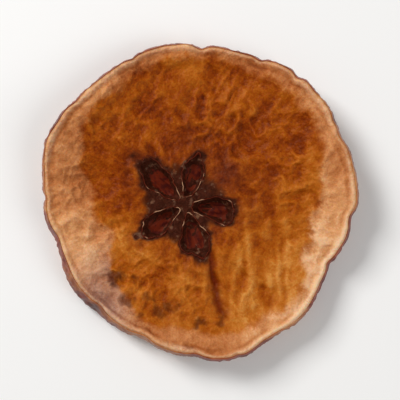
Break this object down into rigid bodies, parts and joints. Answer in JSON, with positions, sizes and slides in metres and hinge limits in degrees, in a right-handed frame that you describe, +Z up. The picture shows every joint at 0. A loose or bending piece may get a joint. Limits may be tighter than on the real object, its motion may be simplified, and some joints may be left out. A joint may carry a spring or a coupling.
{
  "type": "dried apple ring",
  "caption": "Dried cross-slice of an apple with its skin on, a five-hollow seed star in the middle and a curled, puckered rim; a ready-to-eat dried fruit piece.",
  "frame": {"origin": "on the table under the middle of the slice's box, where its rim rests", "axes": "+Z up through the slice, out of its cut face; +X and +Y across it, as right and up in a front view of the cut face"},
  "size_m": [0.0456, 0.0462, 0.0066],
  "materials": {
    "dried_apple": "leathery dried fruit flesh, satin"
  },
  "bodies": {
    "root": {"apple_ring": "dried_apple"}
  },
  "joints": []
}
